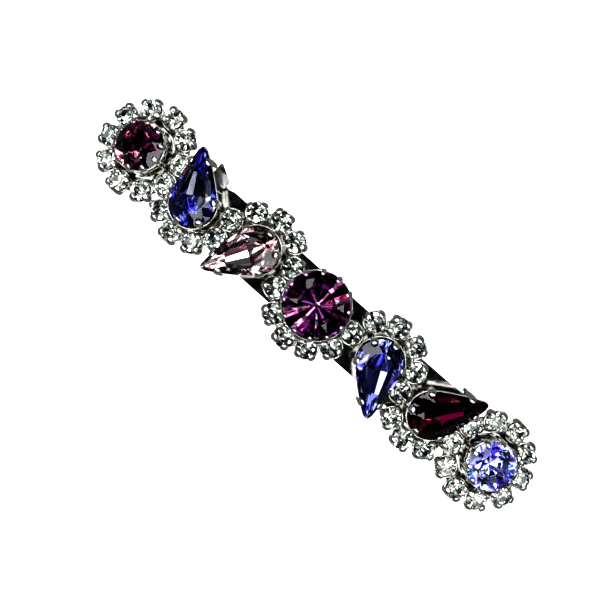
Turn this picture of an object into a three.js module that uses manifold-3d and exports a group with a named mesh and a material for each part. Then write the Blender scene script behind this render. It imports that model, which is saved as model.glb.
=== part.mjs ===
// A rhinestone barrette: an arched spring clip that carries seven large coloured stones, and a string of
// small clear stones that rings the two end stones and winds past the five between them.
// Millimetres. +X runs along the clip from its latch to its hinge, +Y across it, and +Z is the decorated
// side.
// The origin is the middle of the clasp arm's flat underside, which the closed clip rests on.
import * as THREE from 'three';
import { mergeVertices } from 'three/addons/utils/BufferGeometryUtils.js';
import Module from 'manifold-3d';

const wasm = await Module();
wasm.setup();

// --- Driving dimensions ---------------------------------------------------------------------------------

const GAP = 0.3; // left between pieces that touch
const PLATE = { radius: 115, span: 59, width: 9.4, web: 0.9, lip: 0.8, lipDepth: 1.8, crownZ: 11 };
const TONGUE = { left: -28.6, width: 6, shoulderX: -21, round: 2, corner: 1.6 };
const PIN = { x: 27.6, z: 1.4, radius: 0.55, headRadius: 1, headLength: 0.6 };
const LUG = { left: 25.2, right: 29.2, neckZ: 4.4, radius: 1.3 };
const ARM = {
  thickness: 1, hingeWidth: 6.8, waist: 5.6, padWidth: 8.6, left: -29.4, stepX: -19.5, stepRise: 1.9,
};
const WINDOW = { x: -24.8, length: 5.4, width: 6 };
const BAR = { radius: 120, crownZ: 8, thickness: 0.5, left: -17, width: 5, earX: 26.5, earLength: 0.9 };
const LATCH = { x: -24.8, length: 4.4, width: 3.8, z: 5, thickness: 0.5, bossRadius: 1.6, bossTopZ: 6.6 };
const WING = {
  length: 3.1, legY: 2.2, thickness: 0.45, topZ: 5.5, footZ: 0.9, hookTopZ: 1.6, reach: 6.8, earZ: 3.6,
};
const EAR = { foldY: 5.4, tipLength: 0.5 }; // past its fold the ear narrows to a tip on the latch side
const RIVET = { radius: 0.65, headRadius: 1.3, headZ: 4.1, headLength: 0.6, topZ: 7.9 };

// Settings stand on thin strips of solder, which lie a gap above the plate.
const STRIP = { width: 1.2, thickness: 0.5 };
const SEAT_RADIUS = PLATE.radius + GAP + STRIP.thickness / 2;
const ARCH_CENTRE_Z = PLATE.crownZ - PLATE.radius;

const CLAW_POINTS = 3; // outline points to a claw: two at its corners and one in the gap beside it
const SMALL_STONE = { radius: 1.5, girdleZ: 1.35, table: 0.8, crown: 0.7, pavilion: 0.85 };
const SMALL_CUP = {
  claws: 4, foot: 1.7, outside: 1.92, inside: 1.68, well: 1.5, floorZ: 0.35, wallZ: 1.45, clawZ: 2,
};
const PEAR_CUT = { reach: 2.3, cheek: 75, fullness: 0.8, middle: 0.3, points: 24 };
const PEAR_CLAWS = [2, 3, 7, 8, 10, 11, 13, 14, 16, 17, 21, 22]; // outline points, counted from the tip
const LARGE_CUP = {
  foot: 0.82, well: 0.68, floorZ: 0.5, seatZ: 3.7, wallZ: 4.3, clawZ: 5.3, gap: 0.12, wall: 0.33,
};
const LARGE_STONE = { girdleZ: 4.55, girdle: 0.3, table: 0.58, crown: 0.28, pavilion: 0.62 };

// Colour, roughness and metalness of each material.
const NICKEL = [0xc4c7cc, 0.2, 1];
const SPRING_STEEL = [0xa9adb3, 0.3, 1];
const CLEAR = [0xe8edf2, 0.05, 0];
const PLUM = [0x4a0a35, 0.05, 0];
const SAPPHIRE = [0x1d2178, 0.05, 0];
const ROSE = [0xd9a9b5, 0.05, 0];
const AMETHYST = [0x3d0b52, 0.05, 0];
const GARNET = [0x3a0715, 0.05, 0];
const LAVENDER_BLUE = [0x5a66c8, 0.05, 0];

// The seven large stones, from the latch end. Each pear's tip points at its turn, in degrees from +X, and
// each stone has an arc of small cups round it: their reach from its middle, the first one's direction and
// the step.
const ROUND_STATION = { claws: 10, radius: 3.95 };
const PEAR_STATION = { radius: 3.8 };
const STATIONS = [
  { name: 'plum_round_stone', colour: PLUM, x: -36.2, y: 0.3, ...ROUND_STATION, turn: 0,
    cups: { tag: 'left_ring', reach: 6.55, from: 18, step: 36, count: 10 } },
  { name: 'sapphire_pear_stone_left', colour: SAPPHIRE, x: -24.3, y: -0.7, ...PEAR_STATION, turn: 121,
    cups: { tag: 'garland_a', reach: 5.9, from: -131, step: 37.5, count: 5 } },
  { name: 'rose_pear_stone', colour: ROSE, x: -12.4, y: 0.2, ...PEAR_STATION, turn: -122,
    cups: { tag: 'garland_b', reach: 6.1, from: 132, step: -38.5, count: 5 } },
  { name: 'amethyst_round_stone', colour: AMETHYST, x: 0, y: 0.2, claws: 12, radius: 5.35, turn: 0,
    cups: { tag: 'garland_c', reach: 7.05, from: -127, step: 32.3, count: 5 } },
  { name: 'sapphire_pear_stone_right', colour: SAPPHIRE, x: 12.9, y: 0, ...PEAR_STATION, turn: -62,
    cups: { tag: 'garland_d', reach: 6.1, from: 136, step: -37.5, count: 5 } },
  { name: 'garnet_pear_stone', colour: GARNET, x: 24.2, y: -0.7, ...PEAR_STATION, turn: 51,
    cups: { tag: 'garland_e', reach: 6.05, from: -129, step: 36.5, count: 3 } },
  { name: 'lavender_blue_round_stone', colour: LAVENDER_BLUE, x: 36.2, y: -0.7, ...ROUND_STATION, turn: 0,
    cups: { tag: 'right_ring', reach: 6.55, from: 12, step: 36, count: 10 } },
];
const STATIONS_ON_LEFT = 4; // the cluster is soldered up in two halves, which meet past the middle stone

// --- Helpers --------------------------------------------------------------------------------------------

const clip = new THREE.Group();

function addMesh(name, geometry, [color, roughness, metalness], parent = clip) {
  const mesh = new THREE.Mesh(geometry, new THREE.MeshStandardMaterial({ color, roughness, metalness }));
  mesh.name = name;
  parent.add(mesh);
  return mesh;
}

function toSolid(geometry) {
  const bare = geometry.clone();
  bare.deleteAttribute('normal');
  bare.deleteAttribute('uv');
  const merged = mergeVertices(bare, 1e-4);
  return new wasm.Manifold(new wasm.Mesh({
    numProp: 3,
    vertProperties: new Float32Array(merged.attributes.position.array),
    triVerts: new Uint32Array(merged.index.array),
  }));
}

function toGeometry(solid) {
  const { vertProperties, triVerts } = solid.getMesh();
  const geometry = new THREE.BufferGeometry();
  geometry.setAttribute('position', new THREE.BufferAttribute(vertProperties, 3));
  geometry.setIndex(new THREE.BufferAttribute(triVerts, 1));
  geometry.computeVertexNormals();
  return geometry;
}

const joined = (geometries) => geometries.map(toSolid).reduce((sum, solid) => sum.add(solid));
const cut = (solid, tools) => tools.map(toSolid).reduce((rest, tool) => rest.subtract(tool), solid);

function box(x, y, z, width, depth, height) {
  return new THREE.BoxGeometry(width, depth, height).translate(x, y, z);
}

// An outline drawn in X and Z, drawn out to its width across the clip and centred on y.
function acrossClip(shape, width, y = 0, curveSegments = 20) {
  const geometry = new THREE.ExtrudeGeometry(shape, { depth: width, bevelEnabled: false, curveSegments });
  return geometry.translate(0, 0, -width / 2).rotateX(Math.PI / 2).translate(0, y, 0);
}

// An outline drawn in Y and Z, drawn out to its length along the clip and centred on x.
function alongClip(shape, length, x) {
  const geometry = new THREE.ExtrudeGeometry(shape, { depth: length, bevelEnabled: false });
  const turned = new THREE.Matrix4().makeBasis(
    new THREE.Vector3(0, 1, 0), new THREE.Vector3(0, 0, 1), new THREE.Vector3(1, 0, 0));
  return geometry.translate(0, 0, -length / 2).applyMatrix4(turned).translate(x, 0, 0);
}

// The side view of a strip bent to an arc: its outer radius, thickness and two ends, its crown at crownZ.
function arcStrip(radius, thickness, left, right, crownZ) {
  const [start, end] = [Math.acos(left / radius), Math.acos(right / radius)];
  const centreZ = crownZ - radius;
  const shape = new THREE.Shape();
  shape.absarc(0, centreZ, radius, start, end, true);
  shape.absarc(0, centreZ, radius - thickness, end, start, false);
  return shape;
}

function disc(x, z, radius) {
  return new THREE.Shape().absarc(x, z, radius, 0, Math.PI * 2);
}

// An outline drawn in X and Y, as a solid tall enough to trim a piece of the spring clip to it.
function fromAbove(plan, curveSegments = 6) {
  const depth = PLATE.crownZ * 2;
  const tall = new THREE.ExtrudeGeometry(plan, { depth, bevelEnabled: false, curveSegments });
  return toSolid(tall.translate(0, 0, -depth / 4));
}

// --- The spring clip ------------------------------------------------------------------------------------

function hingeLug() {
  const shape = new THREE.Shape();
  const webMiddle = PLATE.web / 2;
  const plateZ = (x) => ARCH_CENTRE_Z + Math.sqrt(PLATE.radius ** 2 - x ** 2) - webMiddle;
  shape.moveTo(LUG.left, plateZ(LUG.left));
  shape.lineTo(LUG.left, LUG.neckZ - GAP);
  shape.lineTo(PIN.x - LUG.radius, PIN.z);
  shape.absarc(PIN.x, PIN.z, LUG.radius, Math.PI, Math.PI * 2);
  shape.lineTo(LUG.right, LUG.neckZ);
  shape.lineTo(LUG.right, plateZ(LUG.right));
  return shape;
}

// The plate seen from above: full width to the shoulders, then a round-ended tongue that carries the latch.
function platePlan() {
  const [half, right] = [PLATE.width / 2, PLATE.span / 2 + 1];
  const { left, width, shoulderX, round, corner } = TONGUE;
  const neck = width / 2;
  const neckX = shoulderX - round;
  const shape = new THREE.Shape();
  shape.moveTo(right, -half);
  shape.lineTo(right, half);
  shape.lineTo(shoulderX, half);
  shape.quadraticCurveTo(neckX, half, neckX, neck);
  shape.lineTo(left + corner, neck);
  shape.absarc(left + corner, neck - corner, corner, Math.PI / 2, Math.PI);
  shape.absarc(left + corner, corner - neck, corner, Math.PI, Math.PI * 1.5);
  shape.lineTo(neckX, -neck);
  shape.quadraticCurveTo(neckX, -half, shoulderX, -half);
  return shape;
}

function topPlate() {
  const half = PLATE.span / 2;
  const sideY = (PLATE.width - PLATE.lip) / 2;
  const pieces = [acrossClip(arcStrip(PLATE.radius, PLATE.web, -half, half, PLATE.crownZ), PLATE.width)];
  for (const y of [-sideY, sideY]) {
    pieces.push(acrossClip(arcStrip(PLATE.radius, PLATE.lipDepth, -half, half, PLATE.crownZ), PLATE.lip, y));
    pieces.push(acrossClip(hingeLug(), PLATE.lip, y));
  }
  const earSlotZ = BAR.crownZ - BAR.radius + Math.sqrt(BAR.radius ** 2 - BAR.earX ** 2) - BAR.thickness / 2;
  const rivetHole = new THREE.CylinderGeometry(RIVET.radius + GAP, RIVET.radius + GAP, PLATE.crownZ, 16);
  return toGeometry(cut(joined(pieces).intersect(fromAbove(platePlan())), [
    acrossClip(disc(PIN.x, PIN.z, PIN.radius + GAP * 0.6), PLATE.width + 2, 0, 10),
    box(BAR.earX, 0, earSlotZ, BAR.earLength + GAP * 2, PLATE.width + 2, BAR.thickness + GAP * 2),
    rivetHole.rotateX(Math.PI / 2).translate(LATCH.x, 0, PLATE.crownZ / 2),
  ]));
}

function hingePin() {
  const bodyEnd = PLATE.width / 2 + GAP;
  const headEnd = bodyEnd + PIN.headLength;
  const profile = [
    [0, -headEnd], [PIN.headRadius, -headEnd], [PIN.headRadius, -bodyEnd], [PIN.radius, -bodyEnd],
    [PIN.radius, bodyEnd], [PIN.headRadius, bodyEnd], [PIN.headRadius, headEnd], [0, headEnd],
  ];
  return new THREE.LatheGeometry(profile.map(([r, y]) => new THREE.Vector2(r, y)), 20);
}

// The arm's side view: flat from the hinge to the step, where it rises to meet the latch.
function armSide() {
  const { thickness, stepX, stepRise, left } = ARM;
  const padX = stepX - stepRise;
  const lipX = left + 1.2;
  const shape = new THREE.Shape();
  shape.moveTo(PIN.x, 0);
  shape.lineTo(PIN.x, thickness);
  shape.lineTo(stepX, thickness);
  shape.lineTo(padX, stepRise + thickness);
  shape.lineTo(lipX, stepRise + thickness);
  shape.lineTo(left, stepRise + thickness * 0.7);
  shape.lineTo(left, stepRise + thickness * 0.3);
  shape.lineTo(lipX, stepRise);
  shape.lineTo(padX + thickness * 0.4, stepRise);
  shape.lineTo(stepX + thickness * 0.4, 0);
  return shape;
}

// The arm seen from above: a strip with a waist, and a round-ended pad that holds the latch window.
function armPlan() {
  const { hingeWidth, waist, padWidth, left, stepX } = ARM;
  const hingeX = PIN.x + 2;
  const corner = 2.4;
  const shape = new THREE.Shape();
  shape.moveTo(hingeX, -hingeWidth / 2);
  shape.lineTo(hingeX, hingeWidth / 2);
  shape.lineTo(PIN.x - 4, hingeWidth / 2);
  shape.lineTo(PIN.x - 8, waist / 2);
  shape.lineTo(stepX + 3, waist / 2);
  shape.lineTo(stepX, padWidth / 2);
  shape.lineTo(left + corner, padWidth / 2);
  shape.absarc(left + corner, padWidth / 2 - corner, corner, Math.PI / 2, Math.PI, false);
  shape.absarc(left + corner, corner - padWidth / 2, corner, Math.PI, Math.PI * 1.5, false);
  shape.lineTo(stepX, -padWidth / 2);
  shape.lineTo(stepX + 3, -waist / 2);
  shape.lineTo(PIN.x - 8, -waist / 2);
  shape.lineTo(PIN.x - 4, -hingeWidth / 2);
  return shape;
}

function claspArm() {
  const strip = toSolid(acrossClip(armSide(), PLATE.width * 2)).intersect(fromAbove(armPlan()));
  const knuckle = toSolid(acrossClip(disc(PIN.x, PIN.z, PIN.z), ARM.hingeWidth));
  return toGeometry(cut(strip.add(knuckle), [
    acrossClip(disc(PIN.x, PIN.z, PIN.radius + GAP * 0.6), ARM.hingeWidth + 2, 0, 10),
    box(WINDOW.x, 0, ARM.stepRise, WINDOW.length, WINDOW.width, PLATE.crownZ),
  ]));
}

// The tension bar: a bowed leaf whose two ears sit in the slots of the hinge lugs.
function tensionBar() {
  const earEnd = BAR.earX + BAR.earLength / 2;
  const leaf = arcStrip(BAR.radius, BAR.thickness, BAR.left, earEnd, BAR.crownZ);
  const reachY = PLATE.width / 2 - GAP;
  const [half, earStart] = [BAR.width / 2, BAR.earX - BAR.earLength / 2];
  const plan = new THREE.Shape();
  plan.moveTo(earEnd, -reachY);
  plan.lineTo(earEnd, reachY);
  plan.lineTo(earStart, reachY);
  plan.lineTo(earStart, half);
  plan.lineTo(BAR.left + half, half);
  plan.absarc(BAR.left + half, 0, half, Math.PI / 2, Math.PI * 1.5, false);
  plan.lineTo(earStart, -half);
  plan.lineTo(earStart, -reachY);
  return toGeometry(toSolid(acrossClip(leaf, PLATE.width * 2)).intersect(fromAbove(plan, 8)));
}

function latchBase() {
  const { x, z, thickness, length, width, bossRadius, bossTopZ } = LATCH;
  const bossHeight = bossTopZ - z;
  const boss = new THREE.CylinderGeometry(bossRadius, bossRadius, bossHeight, 20).rotateX(Math.PI / 2);
  const hole = new THREE.CylinderGeometry(RIVET.radius + GAP, RIVET.radius + GAP, PLATE.crownZ, 16);
  const body = joined([
    box(x, 0, z + thickness / 2, length, width, thickness), boss.translate(x, 0, z + bossHeight / 2),
  ]);
  return toGeometry(cut(body, [hole.rotateX(Math.PI / 2).translate(x, 0, z)]));
}

// One side of the latch spring: a leg with a hook at its foot and an ear that a finger presses.
function latchWing(side) {
  const { legY, thickness, topZ, footZ, hookTopZ, reach, earZ } = WING;
  const outer = legY + thickness;
  const hookY = WINDOW.width / 2 - GAP / 2;
  const outline = [
    [legY, topZ], [legY, footZ], [outer, footZ], [hookY, (footZ + hookTopZ) / 2], [outer, hookTopZ],
    [outer, earZ], [reach - 1, earZ + 0.3], [reach, earZ + 0.8], [reach - 0.4, earZ + 1.1],
    [reach - 1.2, earZ + 0.3 + thickness], [outer, earZ + thickness], [outer, topZ],
  ];
  const shape = new THREE.Shape(outline.map(([y, z]) => new THREE.Vector2(side * y, z)));
  const half = WING.length / 2;
  const plan = new THREE.Shape([
    [-half, 0], [half, 0], [half, EAR.foldY - 0.4], [half - 0.3, EAR.foldY], [half * 0.5, EAR.foldY + 0.3],
    [-half + EAR.tipLength, reach - 0.1], [-half + 0.2, reach], [-half, reach - 0.2],
  ].map(([x, y]) => new THREE.Vector2(LATCH.x + x, side * y)));
  return toGeometry(toSolid(alongClip(shape, WING.length, LATCH.x)).intersect(fromAbove(plan)));
}

function latchRivet() {
  const { radius, headRadius, headZ, headLength, topZ } = RIVET;
  const profile = [
    [0, headZ], [headRadius, headZ], [headRadius, headZ + headLength], [radius, headZ + headLength],
    [radius, topZ], [0, topZ],
  ];
  const lathe = new THREE.LatheGeometry(profile.map(([r, z]) => new THREE.Vector2(r, z)), 16);
  return lathe.rotateX(Math.PI / 2);
}

// --- Outlines and lofts ---------------------------------------------------------------------------------

// A unit circle with three points to a claw. The gap beside the last claw is centred on +X.
function roundOutline(claws) {
  const count = claws * CLAW_POINTS;
  return Array.from({ length: count }, (_, i) => {
    const angle = ((i + 1) / count) * Math.PI * 2;
    return { x: Math.cos(angle), y: Math.sin(angle), claw: i % CLAW_POINTS !== CLAW_POINTS - 1 };
  });
}

// A pear with a unit round end and its tip on +X. Its sides leave the round end at the cheek angle.
function pearOutline() {
  const { reach, cheek, fullness, middle, points } = PEAR_CUT;
  const angle = THREE.MathUtils.degToRad(cheek);
  const [cheekX, cheekY] = [Math.cos(angle), Math.sin(angle)];
  const [bulgeX, bulgeY] = [cheekX + fullness * cheekY, cheekY - fullness * cheekX];
  const shape = new THREE.Shape();
  shape.moveTo(reach, 0);
  shape.quadraticCurveTo(bulgeX, bulgeY, cheekX, cheekY);
  shape.absarc(0, 0, 1, angle, Math.PI * 2 - angle, false);
  shape.quadraticCurveTo(bulgeX, -bulgeY, reach, 0);
  return shape.getSpacedPoints(points).slice(0, points)
    .map((point, i) => ({ x: point.x - middle, y: point.y, claw: PEAR_CLAWS.includes(i) }));
}

// A closed solid through a stack of rings. Each ring is the outline at its radius and height, or at clawZ
// where the outline has a claw. The bottom closes on lowZ, and the top, or the floor of a cup, on its last
// ring.
function loft(outline, rings, lowZ = rings[0].z) {
  const count = outline.length;
  const positions = [0, 0, lowZ];
  for (const { radius, z, clawZ = z } of rings) {
    for (const { x, y, claw } of outline) positions.push(x * radius, y * radius, claw ? clawZ : z);
  }
  const lastRing = 1 + (rings.length - 1) * count;
  const topPoint = positions.length / 3;
  positions.push(0, 0, rings.at(-1).z);
  const index = [];
  for (let i = 0; i < count; i++) {
    const next = (i + 1) % count;
    index.push(0, 1 + next, 1 + i);
    for (let start = 1; start < lastRing; start += count) {
      const [low, lowNext] = [start + i, start + next];
      const [high, highNext] = [low + count, lowNext + count];
      index.push(low, lowNext, highNext, low, highNext, high);
    }
    index.push(lastRing + i, lastRing + next, topPoint);
  }
  const geometry = new THREE.BufferGeometry();
  geometry.setAttribute('position', new THREE.Float32BufferAttribute(positions, 3));
  geometry.setIndex(index);
  geometry.computeVertexNormals();
  return geometry;
}

function smallCup() {
  const { claws, foot, outside, inside, well, floorZ, wallZ, clawZ } = SMALL_CUP;
  return loft(roundOutline(claws), [
    { radius: foot, z: 0 }, { radius: outside, z: wallZ, clawZ }, { radius: inside, z: wallZ, clawZ },
    { radius: well, z: floorZ },
  ]);
}

function smallStone() {
  const { radius, girdleZ, table, crown, pavilion } = SMALL_STONE;
  const outline = Array.from({ length: 8 }, (_, i) => {
    const angle = (i + 0.5) * (Math.PI / 4);
    return { x: Math.cos(angle), y: Math.sin(angle) };
  });
  return loft(outline, [{ radius, z: girdleZ }, { radius: table, z: girdleZ + crown }], girdleZ - pavilion);
}

const stationOutline = ({ claws }) => (claws ? roundOutline(claws) : pearOutline());
const stationMiddle = ({ claws, radius }) => (claws ? 0 : PEAR_CUT.middle * radius);

function largeSetting(station) {
  const { foot, well, floorZ, seatZ, wallZ, clawZ, gap, wall } = LARGE_CUP;
  const inside = station.radius + gap;
  return loft(stationOutline(station), [
    { radius: station.radius * foot, z: 0 }, { radius: inside + wall, z: wallZ, clawZ },
    { radius: inside, z: wallZ, clawZ }, { radius: inside, z: seatZ },
    { radius: station.radius * well, z: floorZ },
  ]).translate(stationMiddle(station), 0, 0);
}

function largeStone(station) {
  const { girdleZ, girdle, table, crown, pavilion } = LARGE_STONE;
  const { radius } = station;
  const points = stationOutline(station).filter((_, i) => !station.claws || i % CLAW_POINTS !== 1);
  return loft(points, [
    { radius, z: girdleZ - girdle / 2 }, { radius, z: girdleZ + girdle / 2 },
    { radius: radius * table, z: girdleZ + radius * crown },
  ], girdleZ - radius * pavilion).translate(stationMiddle(station), 0, 0);
}

// --- Seats and strips -----------------------------------------------------------------------------------

// A seat is a group whose Z axis stands square to the arch at x, turned about that axis by turn degrees.
function seatOnArch(x, y, turn) {
  const lean = Math.asin(x / SEAT_RADIUS);
  const seat = new THREE.Group();
  seat.position.set(x, y, ARCH_CENTRE_Z + SEAT_RADIUS * Math.cos(lean));
  seat.rotation.set(0, lean, THREE.MathUtils.degToRad(turn), 'YXZ');
  clip.add(seat);
  return seat;
}

// The seats of a station's small cups. A full ring is flat, in its station's own plane; an arc follows the
// arch.
function cupSeats(station, stationSeat) {
  const { reach, from, step, count } = station.cups;
  const isRing = Math.abs(step) * count === 360;
  return Array.from({ length: count }, (_, i) => {
    const turn = from + i * step;
    const angle = THREE.MathUtils.degToRad(turn);
    const [dx, dy] = [reach * Math.cos(angle), reach * Math.sin(angle)];
    if (!isRing) return seatOnArch(station.x + dx, station.y + dy, turn);
    const seat = new THREE.Group();
    seat.position.set(dx, dy, 0);
    seat.rotation.z = angle;
    stationSeat.add(seat);
    return seat;
  });
}

const placed = (geometry, seat) => geometry.clone().applyMatrix4(seat.matrixWorld);
const placeOf = (seat) => new THREE.Vector3().setFromMatrixPosition(seat.matrixWorld);
const distance = (a, b) => placeOf(a).distanceTo(placeOf(b));

// A strip of solder from one seat's middle to another's.
function strip(a, b) {
  const [start, end] = [placeOf(a), placeOf(b)];
  const along = end.clone().sub(start);
  const length = along.length();
  along.normalize();
  const up = new THREE.Vector3().setFromMatrixColumn(a.matrixWorld, 2);
  const side = new THREE.Vector3().crossVectors(up, along).normalize();
  const matrix = new THREE.Matrix4().makeBasis(along, side, new THREE.Vector3().crossVectors(along, side));
  matrix.setPosition(start.lerp(end, 0.5));
  return new THREE.BoxGeometry(length, STRIP.width, STRIP.thickness).applyMatrix4(matrix);
}

function nearestPair(groupA, groupB) {
  const pairs = groupA.flatMap((a) => groupB.map((b) => [a, b]));
  return pairs.reduce((best, pair) => (distance(...pair) < distance(...best) ? pair : best));
}

// Half of the cluster: its large settings and small cups, and the strips that join them all.
function settingsOf(stops) {
  const pieces = [];
  const smallCupGeometry = smallCup();
  stops.forEach(({ station, seat, cups }, i) => {
    pieces.push(placed(largeSetting(station), seat));
    cups.forEach((cup, k) => {
      pieces.push(placed(smallCupGeometry, cup));
      if (k > 0) pieces.push(strip(cups[k - 1], cup));
    });
    pieces.push(strip(seat, cups[Math.floor(cups.length / 2)]));
    if (i > 0) pieces.push(strip(...nearestPair(stops[i - 1].cups, cups)));
  });
  return toGeometry(joined(pieces));
}

// --- Assembly -------------------------------------------------------------------------------------------

addMesh('top_plate', topPlate(), NICKEL);
addMesh('latch_base', latchBase(), SPRING_STEEL);
addMesh('latch_wing_front', latchWing(-1), SPRING_STEEL);
addMesh('latch_wing_rear', latchWing(1), SPRING_STEEL);
addMesh('latch_rivet', latchRivet(), NICKEL).position.x = LATCH.x;
addMesh('clasp_arm', claspArm(), NICKEL);
addMesh('hinge_pin', hingePin(), NICKEL).position.set(PIN.x, 0, PIN.z);
addMesh('tension_bar', tensionBar(), SPRING_STEEL);

const stops = STATIONS.map((station) => {
  const seat = seatOnArch(station.x, station.y, station.turn);
  return { station, seat, cups: cupSeats(station, seat) };
});
clip.updateMatrixWorld(true);
addMesh('settings_left', settingsOf(stops.slice(0, STATIONS_ON_LEFT)), NICKEL);
addMesh('settings_right', settingsOf(stops.slice(STATIONS_ON_LEFT)), NICKEL);

for (const { station, seat, cups } of stops) {
  addMesh(station.name, largeStone(station), station.colour, seat);
  cups.forEach((cup, i) => {
    addMesh(`clear_stone_${station.cups.tag}_${i + 1}`, smallStone(), CLEAR, cup);
  });
}

export default clip;
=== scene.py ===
# %% [markdown]
# # A rhinestone barrette
#
# The real thing is a sprung hair clip with a crust of glass stones soldered on top. Each stone is a piece
# of faceted glass with a mirror on its back, held in a metal cup by claws that are pressed over its edge.
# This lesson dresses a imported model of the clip: it cuts the stones, bends the claws, lets Geometry Nodes
# repeat them, and ends with nickel, glass and light. All lengths are metres, as Blender counts them.

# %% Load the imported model
import math
import random

import bmesh
import bpy
from mathutils import Matrix, Vector


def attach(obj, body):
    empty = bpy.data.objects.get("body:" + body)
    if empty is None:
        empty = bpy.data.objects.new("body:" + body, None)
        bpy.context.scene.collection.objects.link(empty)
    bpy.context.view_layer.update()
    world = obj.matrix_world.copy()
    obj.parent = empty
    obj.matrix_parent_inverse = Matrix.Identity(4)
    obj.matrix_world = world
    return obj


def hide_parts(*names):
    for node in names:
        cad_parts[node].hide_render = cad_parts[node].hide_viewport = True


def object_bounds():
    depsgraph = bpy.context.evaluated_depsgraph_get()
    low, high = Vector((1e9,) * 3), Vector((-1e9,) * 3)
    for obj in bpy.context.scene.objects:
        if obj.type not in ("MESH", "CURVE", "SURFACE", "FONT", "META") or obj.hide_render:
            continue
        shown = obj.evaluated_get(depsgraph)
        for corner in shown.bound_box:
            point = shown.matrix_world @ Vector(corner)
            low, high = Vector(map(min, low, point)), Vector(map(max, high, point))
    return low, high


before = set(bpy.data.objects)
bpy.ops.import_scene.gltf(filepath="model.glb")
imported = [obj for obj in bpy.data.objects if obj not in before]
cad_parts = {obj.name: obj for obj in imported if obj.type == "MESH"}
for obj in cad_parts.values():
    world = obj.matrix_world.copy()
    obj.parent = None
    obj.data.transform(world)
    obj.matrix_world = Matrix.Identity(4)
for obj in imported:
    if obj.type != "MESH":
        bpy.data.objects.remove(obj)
cad_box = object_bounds()
MM = 0.001
scene = bpy.context.scene

# %% [markdown]
# ## Where each stone sits
#
# A stone's largest facet is its table, the flat window on top. Its middle and its normal say where the
# stone is and which way it faces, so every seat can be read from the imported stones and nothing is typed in
# again. A seat is a 4 by 4 matrix: Z points out through the table, and X points to a pear's tip, or away
# from the large stone that a small one surrounds. Its origin is the foot of the metal cup.

# %% Read the seats
SMALL_TABLE_Z = 2.05 * MM  # a small table over the foot of its cup
LARGE_GIRDLE_Z = 4.55 * MM  # a large girdle over the foot of its cup
LARGE_CROWN = 0.28  # a large crown's height, in radii
PEAR_REACH = 2.3  # from the middle of a pear's round end to its tip, in radii of that end
LARGE_STONES = {  # each large stone, and the name that the small stones round it carry
    "plum_round_stone": "left_ring", "sapphire_pear_stone_left": "garland_a", "rose_pear_stone": "garland_b",
    "amethyst_round_stone": "garland_c", "sapphire_pear_stone_right": "garland_d",
    "garnet_pear_stone": "garland_e", "lavender_blue_round_stone": "right_ring",
}


def read_table(node):
    """The middle and the normal of the node's largest flat facet."""
    facets = {}
    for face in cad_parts[node].data.polygons:
        facets.setdefault(tuple(round(c, 2) for c in face.normal), []).append(face)
    table = max(facets.values(), key=lambda faces: sum(face.area for face in faces))
    area = sum(face.area for face in table)
    middle = sum((face.center * face.area for face in table), Vector()) / area
    return middle, sum((face.normal * face.area for face in table), Vector()).normalized()


def standing_at(origin, x, y, z):
    """The matrix that stands a thing at the origin, with its own axes along x, y and z."""
    return Matrix.Translation(origin) @ Matrix((x, y, z)).transposed().to_4x4()


def seat_matrix(origin, normal, forward):
    across = normal.cross(forward).normalized()
    return standing_at(origin, across.cross(normal), across, normal)


def read_large_seat(node):
    """The seat of a large stone, with its radius, and whether it is a pear."""
    middle, normal = read_table(node)
    offsets = [v.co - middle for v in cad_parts[node].data.vertices]
    flat = [d - normal * d.dot(normal) for d in offsets]
    tip = max(flat, key=lambda d: d.length)
    is_pear = "pear" in node
    if is_pear:
        radius = max(abs(d.dot(normal.cross(tip).normalized())) for d in flat)
        middle = middle + tip - tip.normalized() * radius * PEAR_REACH
    else:
        radius = tip.length
        tip = Vector((1, 0, 0))
    foot = middle - normal * (LARGE_GIRDLE_Z + radius * LARGE_CROWN)
    return {"seat": seat_matrix(foot, normal, tip), "radius": radius, "pear": is_pear}


large = {node: read_large_seat(node) for node in LARGE_STONES}


def read_small_seats(node):
    """The seats of the small stones that surround one large stone, in their order round it."""
    names = sorted((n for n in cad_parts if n.startswith(f"clear_stone_{LARGE_STONES[node]}_")),
                   key=lambda n: int(n.rsplit("_", 1)[1]))
    seats = []
    for name in names:
        middle, normal = read_table(name)
        outward = middle - large[node]["seat"].translation
        seats.append(seat_matrix(middle - normal * SMALL_TABLE_Z, normal, outward))
    return seats


small = {node: read_small_seats(node) for node in LARGE_STONES}
small_seats = [seat for seats in small.values() for seat in seats]
for node, found in large.items():
    print(node, "radius mm", round(found["radius"] / MM, 2), "small stones", len(small[node]))

# %% [markdown]
# ## A tree that sets a piece on every seat
#
# Cups, claws, stones and beads of solder all repeat: the same piece stands on many seats. One Geometry
# Nodes tree does it, which is far less work than placing each copy by hand. Each seat is a point that
# carries its turn as a quaternion and its size as a number. The tree stands an instance on each, tips it a
# little at random as a hand-set stone is, makes the instances real and gives them their materials. A face
# marked as foil takes the second material.

# %% Build the seat tree
def new_tree(name, sockets):
    """A Geometry Nodes tree with the named inputs, and a function that adds a node to it."""
    tree = bpy.data.node_groups.new(name, "GeometryNodeTree")
    tree.interface.new_socket(name="Geometry", in_out="OUTPUT", socket_type="NodeSocketGeometry")
    for socket, kind in sockets.items():
        tree.interface.new_socket(name=socket, in_out="INPUT", socket_type=f"NodeSocket{kind}")

    def add(kind, values=None, **settings):
        made = tree.nodes.new(kind)
        for key, value in settings.items():
            setattr(made, key, value)
        for key, value in (values or {}).items():
            made.inputs[key].default_value = value
        return made

    return tree, add


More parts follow.
